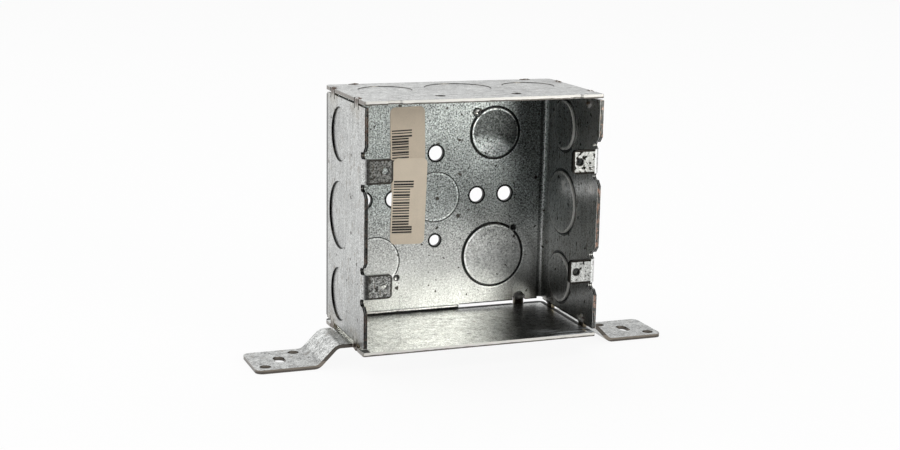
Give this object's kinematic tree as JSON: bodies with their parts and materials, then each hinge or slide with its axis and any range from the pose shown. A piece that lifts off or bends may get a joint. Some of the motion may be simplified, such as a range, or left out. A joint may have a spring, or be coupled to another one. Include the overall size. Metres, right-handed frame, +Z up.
{
  "type": "electrical device box",
  "caption": "Open-fronted electrical device box of folded and welded sheet steel, with knockouts in its walls, inturned screw tabs and a bracket plate on offset feet.",
  "frame": {"origin": "on the ground under the middle of the box, with the feet standing on it", "axes": "+X to the right as seen from the open front, +Y from the open front to the back wall, +Z up"},
  "size_m": [0.1806, 0.054, 0.1095],
  "materials": {
    "galvanised_wrapper": "satin zinc coat with a fine grain",
    "galvanised_top": "satin zinc coat with fine streaks",
    "galvanised_bracket": "satin zinc coat with fine streaks",
    "label_paper": "matt paper"
  },
  "bodies": {
    "root": {"box_wrapper": "galvanised_wrapper", "top_end_plate": "galvanised_top", "bottom_bracket_plate": "galvanised_bracket", "upper_label": "label_paper", "lower_label": "label_paper"}
  },
  "joints": []
}
